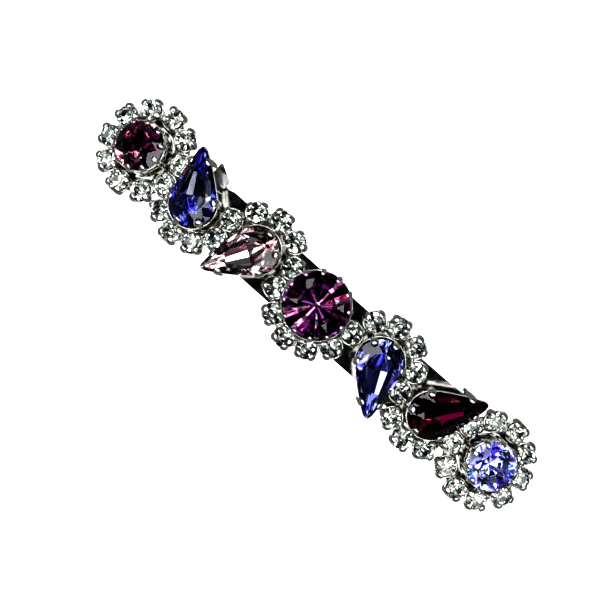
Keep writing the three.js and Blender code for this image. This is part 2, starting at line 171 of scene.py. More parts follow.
def seat_tree():
    tree, add = new_tree("pieces_on_seats", {
        "Seats": "Geometry", "Piece": "Object", "Tilt": "Float", "Seed": "Int", "Material": "Material",
        "Foil": "Material"})
    entry, end = add("NodeGroupInput"), add("NodeGroupOutput")
    piece = add("GeometryNodeObjectInfo", {"As Instance": True})
    turn = add("GeometryNodeInputNamedAttribute", {"Name": "turn"}, data_type="QUATERNION")
    size = add("GeometryNodeInputNamedAttribute", {"Name": "size"}, data_type="FLOAT")
    foil = add("GeometryNodeInputNamedAttribute", {"Name": "foil"}, data_type="BOOLEAN")
    lean = add("FunctionNodeRandomValue", data_type="FLOAT_VECTOR")
    lean.inputs["Min"].default_value = (-1, -1, -1)
    lean.inputs["Max"].default_value = (1, 1, 1)
    scale = add("ShaderNodeVectorMath", operation="SCALE")
    tip = add("FunctionNodeRotateRotation", rotation_space="LOCAL")
    stand = add("GeometryNodeInstanceOnPoints")
    real = add("GeometryNodeRealizeInstances")
    dress, back = add("GeometryNodeSetMaterial"), add("GeometryNodeSetMaterial")
    for start, finish in (
        (entry.outputs["Piece"], piece.inputs["Object"]),
        (entry.outputs["Seed"], lean.inputs["Seed"]),
        (lean.outputs["Value"], scale.inputs["Vector"]),
        (entry.outputs["Tilt"], scale.inputs["Scale"]),
        (turn.outputs["Attribute"], tip.inputs["Rotation"]),
        (scale.outputs["Vector"], tip.inputs["Rotate By"]),
        (entry.outputs["Seats"], stand.inputs["Points"]),
        (piece.outputs["Geometry"], stand.inputs["Instance"]),
        (tip.outputs["Rotation"], stand.inputs["Rotation"]),
        (size.outputs["Attribute"], stand.inputs["Scale"]),
        (stand.outputs["Instances"], real.inputs["Geometry"]),
        (real.outputs["Geometry"], dress.inputs["Geometry"]),
        (entry.outputs["Material"], dress.inputs["Material"]),
        (dress.outputs["Geometry"], back.inputs["Geometry"]),
        (foil.outputs["Attribute"], back.inputs["Selection"]),
        (entry.outputs["Foil"], back.inputs["Material"]),
        (back.outputs["Geometry"], end.inputs["Geometry"]),
    ):
        tree.links.new(start, finish)
    return tree


SEAT_TREE = seat_tree()
print("nodes in the seat tree", len(SEAT_TREE.nodes))

# %% [markdown]
# ## Running a tree
#
# A tree runs as a modifier. Its inputs are set by their identifiers, and the result is then copied into a
# plain mesh, so that the finished piece no longer depends on the tree.

# %% Run a tree on an object
def new_object(name, data):
    made = bpy.data.objects.new(name, data)
    scene.collection.objects.link(made)
    return made


def set_attribute(mesh, name, kind, domain, values):
    attribute = mesh.attributes.new(name, kind, domain)
    for item, value in zip(attribute.data, values):
        item.value = value


def grow(name, mesh, tree, inputs):
    """Run the tree on the mesh, and keep the result as a plain mesh object."""
    host = new_object(name, mesh)
    modifier = host.modifiers.new("grow", "NODES")
    modifier.node_group = tree
    for item in tree.interface.items_tree:
        if item.in_out == "INPUT" and item.name in inputs:
            modifier[item.identifier] = inputs[item.name]
    bpy.context.view_layer.update()
    evaluated = host.evaluated_get(bpy.context.evaluated_depsgraph_get())
    grown = bpy.data.meshes.new_from_object(evaluated)
    host.modifiers.remove(modifier)
    host.data = grown
    return host


def stand_on_seats(name, seats, piece, material, foil=None, tilt=0.0, seed=1, sizes=None):
    """The piece on every seat, as one mesh."""
    mesh = bpy.data.meshes.new("seats")
    mesh.from_pydata([seat.translation for seat in seats], [], [])
    set_attribute(mesh, "turn", "QUATERNION", "POINT", [seat.to_quaternion() for seat in seats])
    set_attribute(mesh, "size", "FLOAT", "POINT", sizes or [1.0] * len(seats))
    return grow(name, mesh, SEAT_TREE, {"Piece": piece, "Tilt": tilt, "Seed": seed, "Material": material,
                                        "Foil": foil or material})


# %% [markdown]
# ## A tree that draws a wire along the seats
#
# The cups are soldered to a wire that runs under them. Its path is a chain of points, and the tree turns
# that chain into a smooth curve and sweeps a round profile along it.

# %% Build the wire tree
def wire_tree():
    tree, add = new_tree("wire_along_seats", {"Path": "Geometry", "Radius": "Float", "Material": "Material"})
    entry, end = add("NodeGroupInput"), add("NodeGroupOutput")
    chain = add("GeometryNodeMeshToCurve")
    smooth = add("GeometryNodeCurveSplineType", spline_type="CATMULL_ROM")
    fine = add("GeometryNodeSetSplineResolution", {"Resolution": 6})
    profile = add("GeometryNodeCurvePrimitiveCircle", {"Resolution": 12})
    sweep = add("GeometryNodeCurveToMesh", {"Fill Caps": True})
    shade = add("GeometryNodeSetShadeSmooth")
    real = add("GeometryNodeRealizeInstances")
    dress = add("GeometryNodeSetMaterial")
    for start, finish in (
        (entry.outputs["Path"], chain.inputs["Mesh"]),
        (chain.outputs["Curve"], smooth.inputs["Curve"]),
        (smooth.outputs["Curve"], fine.inputs["Geometry"]),
        (entry.outputs["Radius"], profile.inputs["Radius"]),
        (fine.outputs["Geometry"], sweep.inputs["Curve"]),
        (profile.outputs["Curve"], sweep.inputs["Profile Curve"]),
        (sweep.outputs["Mesh"], shade.inputs["Geometry"]),
        (shade.outputs["Geometry"], real.inputs["Geometry"]),
        (real.outputs["Geometry"], dress.inputs["Geometry"]),
        (entry.outputs["Material"], dress.inputs["Material"]),
        (dress.outputs["Geometry"], end.inputs["Geometry"]),
    ):
        tree.links.new(start, finish)
    return tree


WIRE_TREE = wire_tree()
print("nodes in the wire tree", len(WIRE_TREE.nodes))


def wire_along(name, places, closed, radius, material):
    mesh = bpy.data.meshes.new("path")
    edges = [(i, i + 1) for i in range(len(places) - 1)] + ([(len(places) - 1, 0)] if closed else [])
    mesh.from_pydata(places, edges, [])
    return grow(name, mesh, WIRE_TREE, {"Radius": radius, "Material": material})


# %% [markdown]
# ## Outlines
#
# A round stone's outline is a circle. A pear's is a round end, two sides that bulge a little, and a tip.
# Both are made here as evenly spaced points on a shape of radius 1, so that one recipe cuts both stones
# and one recipe draws both cups. The pear's sides are curves with three control points, because such a
# curve meets the round end and the tip without a corner.

# %% Draw the outlines
PEAR_CHEEK = math.radians(75)  # where the round end turns into a side
PEAR_FULLNESS = 0.8  # how far the sides bulge
PEAR_MIDDLE = 0.3  # the point on X that a pear's rows of facets shrink towards
PEAR_TIP_RADIUS = 0.17
PEAR_TIP_TURN = math.radians(58)  # how far the tip's arc turns on each side
PATH_STEPS = 60


def round_outline(count):
    return [Vector((math.cos(a), math.sin(a))) for a in (i * math.tau / count for i in range(count))]


def spaced_along(path, count):
    """Evenly spaced points along a closed path."""
    lengths = [0.0]
    for a, b in zip(path, path[1:]):
        lengths.append(lengths[-1] + (b - a).length)
    points, i = [], 0
    for k in range(count):
        wanted = lengths[-1] * k / count
        while lengths[i + 1] < wanted:
            i += 1
        share = (wanted - lengths[i]) / (lengths[i + 1] - lengths[i])
        points.append(path[i].lerp(path[i + 1], share))
    return points


def arc(middle, radius, start, stop, steps):
    turns = (start + (stop - start) * i / steps for i in range(steps))
    return [middle + radius * Vector((math.cos(turn), math.sin(turn))) for turn in turns]


def pear_outline(count):
    """Evenly spaced points round a pear, from its rounded tip on +X, anticlockwise."""
    cheek = Vector((math.cos(PEAR_CHEEK), math.sin(PEAR_CHEEK)))
    bulge = cheek + PEAR_FULLNESS * Vector((cheek.y, -cheek.x))
    tip_middle = Vector((PEAR_REACH - PEAR_TIP_RADIUS, 0))
    start = tip_middle + PEAR_TIP_RADIUS * Vector((math.cos(PEAR_TIP_TURN), math.sin(PEAR_TIP_TURN)))
    tip = arc(tip_middle, PEAR_TIP_RADIUS, 0, PEAR_TIP_TURN, PATH_STEPS // 5)
    side = [(1 - t) ** 2 * start + 2 * t * (1 - t) * bulge + t * t * cheek
            for t in (i / PATH_STEPS for i in range(PATH_STEPS))]
    round_end = arc(Vector((0, 0)), 1, PEAR_CHEEK, math.pi, PATH_STEPS)
    upper = tip + side + round_end + [Vector((-1, 0))]
    lower = [Vector((p.x, -p.y)) for p in reversed(upper[:-1])]
    return spaced_along(upper + lower, count)


def outline_of(stone, count):
    return pear_outline(count) if stone["pear"] else round_outline(count)


def middle_of(stone):
    return Vector((PEAR_MIDDLE, 0)) if stone["pear"] else Vector((0, 0))


print("a pear's width in radii", round(2 * max(p.y for p in pear_outline(PATH_STEPS)), 2))

# %% [markdown]
# ## Cutting the stones
#
# A lapidary grinds flat facets until they meet in sharp edges. The same solid is the convex hull of the
# points where the facets meet: the table's corners, a waist half way down the crown, the girdle, a row on
# the pavilion, and the culet at the bottom. Each row is the outline drawn smaller, so a few numbers give a
# whole cut. A small stone has the plainest one, with eight facets above and eight below. Every facet gets
# a tone of its own for its foil's colour: a painted reflection, standing in for the part of the room that
# the mirror behind a real stone shows each facet. The facets that face down are marked as foil.

# %% Cut a stone
GIRDLE = 0.025  # half of the girdle's height, in radii
CROWN_WAIST = 0.56  # the waist's share of the crown's height
KEEL_BULGE = 1.1  # how far a round stone's lower row stands proud of a plain cone
PEAR_KEEL_FACETS = 11
PEAR_KEEL = ((PEAR_MIDDLE, 0.99), (1.25, 0.62))  # where the keel's two ribs stand on X, and their size
PEAR_HEEL = (0.5, 0.62)  # the row behind them: its share of the outline, and of the pavilion's depth
ONE_FACET = math.radians(1.2)  # faces that differ by less than this are one facet
FOIL_SLOPE = -0.1  # a facet whose normal points below this is foil
SMALL_CUT_SEED = 3


def cut_stone(name, points, seed):
    """A closed stone of radius 1: the convex hull of the points where its facets meet."""
    bm = bmesh.new()
    for point in points:
        bm.verts.new(point)
    hull = bmesh.ops.convex_hull(bm, input=bm.verts)
    loose = {e for e in hull["geom_interior"] + hull["geom_unused"] if isinstance(e, bmesh.types.BMVert)}
    bmesh.ops.delete(bm, geom=list(loose), context="VERTS")
    bmesh.ops.dissolve_limit(bm, angle_limit=ONE_FACET, verts=bm.verts, edges=bm.edges)
    bmesh.ops.recalc_face_normals(bm, faces=bm.faces)
    mesh = bpy.data.meshes.new(name)
    bm.to_mesh(mesh)
    bm.free()
    dice = random.Random(seed)
    set_attribute(mesh, "foil", "BOOLEAN", "FACE", [face.normal.z < FOIL_SLOPE for face in mesh.polygons])
    # The random tone picks each facet's painted reflection from its foil's colour ramp.
    set_attribute(mesh, "tone", "FLOAT", "FACE", [dice.random() for _ in mesh.polygons])
    return mesh


def row(outline, middle, scale, height):
    """The outline drawn smaller about its middle, at a height."""
    places = (middle + (point - middle) * scale for point in outline)
    return [(p.x, p.y, height) for p in places]


def crown_points(outline, middle, crown, table, waist):
    """The table's corners, the crown's waist between them, and the girdle."""
    return (row(outline[::2], middle, table, crown) + row(outline[1::2], middle, waist, crown * CROWN_WAIST)
            + row(outline, middle, 1, GIRDLE))


def round_points(count, crown, table, waist, pavilion, keel=None):
    """A round brilliant. Without a keel its pavilion is a cone of flat, narrow facets."""
    outline, middle = round_outline(count), Vector((0, 0))
    points = crown_points(outline, middle, crown, table, waist) + row(outline, middle, 1, -GIRDLE)
    if keel:
        depth = GIRDLE + (pavilion - GIRDLE) * (1 - keel) * KEEL_BULGE
        points += row(outline[1::2], middle, keel, -depth)
    return points + [(0, 0, -pavilion)]


def pear_points(count, crown, table, waist, pavilion):
    """A pear. Below its girdle, long facets run from the belly and meet at the tip."""
    outline, middle = pear_outline(count), Vector((PEAR_MIDDLE, 0))
    points = crown_points(outline, middle, crown, table, waist) + row(outline, middle, 1, -GIRDLE)
    for place, scale in PEAR_KEEL:
        for k in range(1, PEAR_KEEL_FACETS):
            turn = math.pi * k / PEAR_KEEL_FACETS
            points.append((place, scale * math.cos(turn), -GIRDLE - scale * pavilion * math.sin(turn)))
    behind = [p for p in outline[1::2] if p.x < 0]
    return points + row(behind, middle, PEAR_HEEL[0], -pavilion * PEAR_HEEL[1])


def chaton_points(crown, table, pavilion):
    """The simple cut of a small stone: eight facets round its table and eight that meet at its culet."""
    outline, middle = round_outline(8), Vector((0, 0))
    return (row(outline, middle, table, crown) + row(outline, middle, 1, GIRDLE)
            + row(outline, middle, 1, -GIRDLE) + [(0, 0, -pavilion)])


small_stone_mesh = cut_stone("small_stone", chaton_points(0.36, 0.56, 0.88), SMALL_CUT_SEED)
print("facets on a small stone", len(small_stone_mesh.polygons))

# %% [markdown]
# ## Materials
#
# Three kinds of finish make the whole piece. Nickel plate is a bright mirror with a soft, uneven polish.
# Cut glass is clear, bends light strongly and is perfectly smooth. The foil behind it is a tinted mirror,
# whose colour steps from facet to facet through a ramp, by the tone that each facet was given: painted
# reflections and painted flashes, from near black to white, over the stone's own hue where it has one.
# Light mostly strikes the foil twice on its way in and out, so a deep colour is mixed from tones lighter
# than itself.

# %% Material helpers
CLOUD_SCALE = 260.0  # patches of tone on metal, a few millimetres wide
GLASS_CLOUD_SCALE = 120.0
GLASS_IOR = 1.56
DENT_DEPTH = 0.05 * MM


def new_material(name, **sockets):
    material = bpy.data.materials.new(name)
    material.use_nodes = True
    shader = material.node_tree.nodes["Principled BSDF"]
    for key, value in sockets.items():
        shader.inputs[key.replace("_", " ")].default_value = value
    return material, material.node_tree, shader


def noise_on_object(tree, scale, detail=3.0):
    place = tree.nodes.new("ShaderNodeTexCoord")
    noise = tree.nodes.new("ShaderNodeTexNoise")
    noise.inputs["Scale"].default_value = scale
    noise.inputs["Detail"].default_value = detail
    tree.links.new(place.outputs["Object"], noise.inputs["Vector"])
    return noise


def ramp_from(tree, source, stops, stepped=False):
    ramp = tree.nodes.new("ShaderNodeValToRGB")
    ramp.color_ramp.interpolation = "CONSTANT" if stepped else "LINEAR"
    while len(ramp.color_ramp.elements) < len(stops):
        ramp.color_ramp.elements.new(0.5)
    for element, (place, colour) in zip(ramp.color_ramp.elements, stops):
        element.position = place
        element.color = (*colour, 1)
    tree.links.new(source, ramp.inputs["Fac"])
    return ramp


def metal(name, dark, light, rough, grain=900.0, bump=0.02):
    """A plated metal whose colour, polish and surface all wander a little."""
    material, tree, shader = new_material(name, Metallic=1.0)
    cloud = noise_on_object(tree, CLOUD_SCALE)
    fine = noise_on_object(tree, grain, 5.0)
    colour = ramp_from(tree, cloud.outputs["Fac"], [(0.35, dark), (0.65, light)])
    polish = ramp_from(tree, fine.outputs["Fac"], [(0.3, (rough[0],) * 3), (0.7, (rough[1],) * 3)])
    dent = tree.nodes.new("ShaderNodeBump")
    dent.inputs["Strength"].default_value = bump
    dent.inputs["Distance"].default_value = DENT_DEPTH
    tree.links.new(colour.outputs["Color"], shader.inputs["Base Color"])
    tree.links.new(polish.outputs["Color"], shader.inputs["Roughness"])
    tree.links.new(fine.outputs["Fac"], dent.inputs["Height"])
    tree.links.new(dent.outputs["Normal"], shader.inputs["Normal"])
    return material


def glass(name, tint, deeper):
    """Clear cut glass. Its tint wanders slightly from place to place."""
    material, tree, shader = new_material(name, Roughness=0.0, IOR=GLASS_IOR, Transmission_Weight=1.0)
    cloud = noise_on_object(tree, GLASS_CLOUD_SCALE, 1.0)
    colour = ramp_from(tree, cloud.outputs["Fac"], [(0.4, tint), (0.6, deeper)])
    tree.links.new(colour.outputs["Color"], shader.inputs["Base Color"])
    return material


def foil(name, stops, rough=0.06):
    """The mirror behind a stone, tinted facet by facet with painted reflections and painted flashes."""
    material, tree, shader = new_material(name, Metallic=1.0, Roughness=rough)
    # Each facet's tone picks its painted reflection or painted flash from the stepped ramp.
    tone = tree.nodes.new("ShaderNodeAttribute")
    tone.attribute_name = "tone"
    colour = ramp_from(tree, tone.outputs["Fac"], stops, stepped=True)
    tree.links.new(colour.outputs["Color"], shader.inputs["Base Color"])
    return material


# %% [markdown]
# ## Finishes and colours
#
# The cups are bright nickel. The plate, the deep walls and the wires under the cups take the same nickel
# painted darker, almost black: painted shade, and a painted dark reflection of the room. The spring parts
# are plain steel, and solder is dull and rough. A large stone's colour is a pale glass over a foil whose
# steps, from near black to a bright flash, are painted reflections and painted flashes over its own hue.

# %% Mix the finishes
NICKEL = metal("nickel_plate", (0.56, 0.56, 0.52), (0.7, 0.7, 0.67), (0.05, 0.14))
# The nickel painted darker: painted shade on the cup walls and wires, a painted dark reflection on the plate.
NICKEL_PAINTED_SHADE = metal("nickel_painted_shade", (0.2, 0.2, 0.19), (0.3, 0.3, 0.28), (0.05, 0.16))
SPRING = metal("spring_steel", (0.46, 0.47, 0.47), (0.62, 0.62, 0.61), (0.1, 0.22))
SOLDER = metal("solder", (0.5, 0.5, 0.47), (0.68, 0.67, 0.63), (0.16, 0.3), 1400.0, 0.08)

CLEAR_GLASS = glass("clear_glass", (0.98, 0.99, 0.99), (0.93, 0.97, 0.95))
# Its white, grey and near-black steps are painted reflections and painted flashes on a silver foil.
CLEAR_FOIL_PAINTED_REFLECTIONS = foil("clear_foil_painted_reflections", [(0, (1.0, 1.0, 1.0)), (0.4, (0.78, 0.83, 0.8)), (0.58, (1.0, 1.0, 1.0)),
                                 (0.8, (0.14, 0.18, 0.16)), (0.9, (1.0, 0.99, 0.93))])

# Each large stone's glass tint and deeper tint, and the colour steps of its foil: its own hue, with
# painted reflections and painted flashes from near black to white.
SAPPHIRE = ((0.86, 0.88, 0.99), (0.76, 0.79, 0.97), [
    (0, (0.15, 0.17, 0.52)), (0.2, (0.42, 0.46, 0.9)), (0.34, (0.02, 0.02, 0.14)),
    (0.54, (0.78, 0.84, 1.0)), (0.66, (0.2, 0.2, 0.62)), (0.86, (1.0, 1.0, 1.0))])
COLOURS = {
    "plum_round_stone": ((0.95, 0.75, 0.82), (0.9, 0.65, 0.74), [
        (0, (0.02, 0.0, 0.01)), (0.3, (0.75, 0.2, 0.36)), (0.5, (0.01, 0.0, 0.01)),
        (0.66, (1.0, 0.3, 0.62)), (0.76, (0.03, 0.0, 0.03)), (0.9, (1.0, 0.9, 0.97))]),
    "sapphire_pear_stone_left": SAPPHIRE,
    "rose_pear_stone": ((0.98, 0.89, 0.91), (0.97, 0.86, 0.88), [
        (0, (1.0, 0.96, 0.96)), (0.35, (0.5, 0.28, 0.32)), (0.46, (1.0, 0.98, 0.98)),
        (0.74, (0.14, 0.05, 0.07)), (0.84, (0.8, 0.7, 0.7))]),
    "amethyst_round_stone": ((0.98, 0.9, 0.98), (0.94, 0.84, 0.97), [
        (0, (0.02, 0.0, 0.03)), (0.18, (1.0, 0.3, 0.8)), (0.34, (0.03, 0.0, 0.04)),
        (0.5, (0.6, 0.32, 1.0)), (0.64, (0.02, 0.0, 0.02)), (0.74, (1.0, 0.28, 0.42)),
        (0.84, (1.0, 0.6, 0.9)), (0.9, (1.0, 0.97, 1.0))]),
    "sapphire_pear_stone_right": SAPPHIRE,
    "garnet_pear_stone": ((0.94, 0.7, 0.75), (0.88, 0.58, 0.64), [
        (0, (0.05, 0.0, 0.02)), (0.4, (0.62, 0.12, 0.26)), (0.6, (0.02, 0.0, 0.01)),
        (0.84, (1.0, 0.34, 0.52))]),
    "lavender_blue_round_stone": ((0.86, 0.88, 0.99), (0.76, 0.79, 0.97), [
        (0, (0.4, 0.46, 0.86)), (0.28, (0.1, 0.1, 0.42)), (0.46, (0.7, 0.76, 0.96)),
        (0.66, (0.34, 0.22, 0.74)), (0.84, (1.0, 1.0, 1.0))]),
}
print("materials so far", len(bpy.data.materials))

# %% [markdown]
# ## The small clear stones
#
# All the small stones are the same cut, so one is made and the tree sets it in every cup, tipped by up to
# a few degrees. That small tip is what makes neighbouring stones flash at different moments.

# %% Set the small stones
SMALL_RADIUS = 1.65 * MM
SMALL_GIRDLE_Z = 1.35 * MM
SMALL_TILT = math.radians(4)
SMALL_TILT_SEED = 7  # the stones and their cups tip together, so both use it


def raised(seats, height):
    return [seat @ Matrix.Translation((0, 0, height)) for seat in seats]


masters = []


def master_object(name, mesh, scale=1.0):
    """A hidden object that holds a piece for the tree to repeat, with its scale in its mesh."""
    mesh.transform(Matrix.Scale(scale, 4))
    made = new_object(name, mesh)
    made.hide_render = True
    masters.append(made)
    return made


small_master = master_object("small_stone_master", small_stone_mesh, SMALL_RADIUS)
clear_stones = stand_on_seats("clear_stones", raised(small_seats, SMALL_GIRDLE_Z), small_master,
                              CLEAR_GLASS, CLEAR_FOIL_PAINTED_REFLECTIONS, SMALL_TILT, SMALL_TILT_SEED)
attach(clear_stones, "clip_top")
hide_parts(*[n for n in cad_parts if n.startswith("clear_stone_")])
print("small stones", len(small_seats), "faces", len(clear_stones.data.polygons))

# %% [markdown]
# ## The large stones
#
# The two end stones are round brilliants with a second row of facets on the pavilion. The middle stone's
# pavilion is a cone of forty narrow facets instead, which breaks its colour into rays. Under a pear, long
# facets run from its belly to its tip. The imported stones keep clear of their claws. These ones are grown
# until they touch them, as set stones do.

# %% Cut the large stones
LARGE_GROWTH = 0.12 * MM
LARGE_CUT_SEED = 51
ROUND_CUTS = {
    "plum_round_stone": round_points(16, 0.33, 0.6, 0.8, 0.84, 0.5),
    "amethyst_round_stone": round_points(40, 0.3, 0.56, 0.8, 0.785),
    "lavender_blue_round_stone": round_points(20, 0.33, 0.6, 0.8, 0.84, 0.45),
}
PEAR_CUT = pear_points(32, 0.32, 0.58, 0.8, 0.72)

for seed, (node, stone) in enumerate(large.items(), LARGE_CUT_SEED):
    mesh = cut_stone(node, ROUND_CUTS.get(node, PEAR_CUT), seed)
    radius = stone["radius"] + LARGE_GROWTH
    tint, deeper, steps = COLOURS[node]
    mesh.materials.append(glass(f"{node}_glass", tint, deeper))
    # The foil's steps paint reflections and flashes onto the stone facet by facet, over its own hue.
    mesh.materials.append(foil(f"{node}_foil", steps))
    for face in mesh.polygons:
        face.material_index = int(mesh.attributes["foil"].data[face.index].value)
    mesh.transform(stone["seat"] @ Matrix.Translation((0, 0, LARGE_GIRDLE_Z)) @ Matrix.Scale(radius, 4))
    cut = new_object(f"{node}_cut", mesh)
    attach(cut, "clip_top")
    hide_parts(node)
    print(node, "facets", len(mesh.polygons))

# %% [markdown]
# ## Claws
#
# A claw is a strip of thin metal that stands on the cup's wall, runs up past the stone's edge and is
# pressed over its crown. It is drawn here as a row of rounded cross-sections along that bent path, because
# each section can then be narrower than the last, down to the blunt end. X is 0 at the stone's edge and
# points outwards, and Z is 0 at the girdle.

# %% Bend a claw
CLAW_SIDES = 12  # corners of a claw's cross-section
CLAW_SQUARENESS = 0.85  # 1 is an oval section, and less is a flatter one
CLAW_END_THICKNESS = 0.45  # the share of its thickness that a claw never loses


def flattened_cosine(angle):
    return math.copysign(abs(math.cos(angle)) ** CLAW_SQUARENESS, math.cos(angle))


def bend_claw(name, width, thickness, drop, rise, lean, curve_radius):
    """A claw that starts drop below the girdle and ends rise above it, lean inside the stone's edge."""
    path = [  # X, Z and the share of its full width
        (0.0, -drop, 0.9), (0.0, -drop * 0.5, 0.95), (0.02 * lean, -thickness * 0.2, 1.0),
        (-lean * 0.1, rise * 0.38, 0.98), (-lean * 0.36, rise * 0.7, 0.92), (-lean * 0.68, rise * 0.9, 0.78),
        (-lean * 0.9, rise * 0.98, 0.55), (-lean, rise, 0.22),
    ]
    bm = bmesh.new()
    rings = []
    for i, (x, z, share) in enumerate(path):
        before, after = path[max(i - 1, 0)], path[min(i + 1, len(path) - 1)]
        along = Vector((after[0] - before[0], after[1] - before[1])).normalized()
        out = Vector((along.y, -along.x))
        depth = CLAW_END_THICKNESS + (1 - CLAW_END_THICKNESS) * share
        ring = []
        for k in range(CLAW_SIDES):
            angle = math.tau * k / CLAW_SIDES
            y = width / 2 * share * flattened_cosine(angle)
            push = thickness / 2 * (1 + math.sin(angle) * depth)
            hug = -y * y / (2 * curve_radius)
            ring.append(bm.verts.new((x + out.x * push + hug, y, z + out.y * push)))
        rings.append(ring)
    return finish_mesh(skin(bm, rings), name)


def skin(bm, rings):
    """Faces from ring to ring, and one across each end."""
    for low, high in zip(rings, rings[1:]):
        for k in range(len(low)):
            after = (k + 1) % len(low)
            bm.faces.new((low[k], low[after], high[after], high[k]))
    bm.faces.new(rings[0])
    bm.faces.new(rings[-1])
    return bm


def finish_mesh(bm, name):
    """A mesh with smooth faces that point outwards."""
    bmesh.ops.recalc_face_normals(bm, faces=bm.faces)
    for face in bm.faces:
        face.smooth = True
    mesh = bpy.data.meshes.new(name)
    bm.to_mesh(mesh)
    bm.free()
    return mesh


# %% [markdown]
# ## Cups
#
# Under its claws each stone has a cup. The wall is lofted: the outline is drawn again and again, larger or
# smaller and higher or lower, up the outside, over the rim and down the inside, and the rings are joined
# by faces. A turned profile would do for the round cups, but a pear is not round, and a loft makes both.

# %% Loft a cup's wall
def loft_wall(name, outline, middle, levels):
    """A closed cup. Its (radius, height) levels start and end on its floor, and the outline's radius is 1."""
    bm = bmesh.new()
    rings = []
    for radius, height in levels:
        places = (middle * levels[0][0] + (point - middle) * radius for point in outline)
        rings.append([bm.verts.new((p.x, p.y, height)) for p in places])
    return finish_mesh(skin(bm, rings), name)


# %% [markdown]
# ## Small four-claw cups
#
# A small cup is a shallow bowl with four broad claws. The claws stand at the corners, so that the cups
# touch side by side and each one shows two claws outwards, like the petals round a flower.

# %% Build one small cup and set it on every seat
SMALL_WALL = 0.3 * MM
SMALL_RIM_Z = SMALL_GIRDLE_Z * 0.86
SMALL_FOOT_RADIUS = 1.2 * MM
SMALL_CLAW = {"width": 1.3 * MM, "thickness": 0.55 * MM, "drop": 0.9 * MM, "rise": 0.6 * MM,
              "lean": 0.55 * MM}


def join_meshes(name, meshes):
    bm = bmesh.new()
    for mesh in meshes:
        bm.from_mesh(mesh)
    joined = bpy.data.meshes.new(name)
    bm.to_mesh(joined)
    bm.free()
    return joined


def bowl_levels(radius, wall, rim, foot):
    """A small cup's profile: up the outside from its foot, over the rim and down to its floor."""
    inside = radius + 0.03 * MM
    outside = inside + wall
    return [
        (foot * 0.9, 0.0), (foot, 0.06 * MM), (outside * 0.95, rim * 0.45), (outside, rim * 0.85),
        (outside - wall * 0.3, rim), (inside, rim - wall * 0.3), (inside * 0.9, rim * 0.45),
        (foot * 0.8, 0.3 * MM),
    ]


claw = master_object("small_claw", bend_claw("small_claw", curve_radius=SMALL_RADIUS, **SMALL_CLAW))
corner_seats = [Matrix.Rotation(math.radians(45 + 90 * k), 4, "Z")
                @ Matrix.Translation((SMALL_RADIUS, 0, SMALL_GIRDLE_Z)) for k in range(4)]
claws = stand_on_seats("small_claws", corner_seats, claw, NICKEL)
bowl = loft_wall("small_bowl", round_outline(20), Vector((0, 0)),
                 bowl_levels(SMALL_RADIUS, SMALL_WALL, SMALL_RIM_Z, SMALL_FOOT_RADIUS))
cup_master = master_object("small_cup_master", join_meshes("small_cup", [claws.data, bowl]))
masters.append(claws)
small_cups = stand_on_seats("small_cups", small_seats, cup_master, NICKEL, None, SMALL_TILT, SMALL_TILT_SEED)
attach(small_cups, "clip_top")
print("small cup faces", len(cup_master.data.polygons))

# %% [markdown]
# ## Large cups
#
# The tall cups lift the coloured stones over the small ones. A round one has claws all the way round. A
# pear has three pairs: near its tip, at its shoulders and at its round end. The walls sit under the stones,
# so they take the nickel painted darker, a painted shade, and only the claws catch the light.

# %% Build the large cups
LARGE_WALL = 0.16 * MM
LARGE_CLAW = {"thickness": 0.42 * MM, "drop": 3.2 * MM, "rise": 0.85 * MM, "lean": 0.62 * MM}
ROUND_CLAW_WIDTH = 0.95 * MM
PEAR_CLAW_WIDTH = 1.3 * MM
CLAW_COUNTS = {"plum_round_stone": 10, "amethyst_round_stone": 12, "lavender_blue_round_stone": 10}
PEAR_CLAW_SHARES = (0.095, 0.3, 0.44)  # of the way round the outline, from the tip


def tall_levels(radius):
    """A large cup's profile, from its foot over the rim and down to its floor."""
    inside = radius + 0.02 * MM
    return [
        (radius * 0.76, 0.0), (radius * 0.8, 0.15 * MM), (inside * 0.93 + LARGE_WALL, 2.2 * MM),
        (inside + LARGE_WALL, 4.0 * MM), (inside + LARGE_WALL * 0.7, 4.35 * MM), (inside, 4.3 * MM),
        (inside * 0.97, 3.8 * MM), (radius * 0.6, 0.6 * MM),
    ]


def claw_shares(node):
    """Where a stone's claws stand, as shares of the way round its outline."""
    if node in CLAW_COUNTS:
        return [k / CLAW_COUNTS[node] for k in range(CLAW_COUNTS[node])]
    return [place for share in PEAR_CLAW_SHARES for place in (share, 1 - share)]


def outline_seats(stone, shares, radius, height):
    """Seats on the stone's edge at shares of the way round its outline, facing outwards."""
    count = 720
    outline = outline_of(stone, count)
    seats = []
    for share in shares:
        i = round(share * count) % count
        here = outline[i] * radius
        along = (outline[(i + 3) % count] - outline[i - 3]).normalized()
        out = Vector((along.y, -along.x, 0))
        seats.append(seat_matrix(Vector((here.x, here.y, height)), Vector((0, 0, 1)), out))
    return seats


def coat(made, *materials):
    """Give a finished piece these materials and no others."""
    made.data.materials.clear()
    for material in materials:
        made.data.materials.append(material)


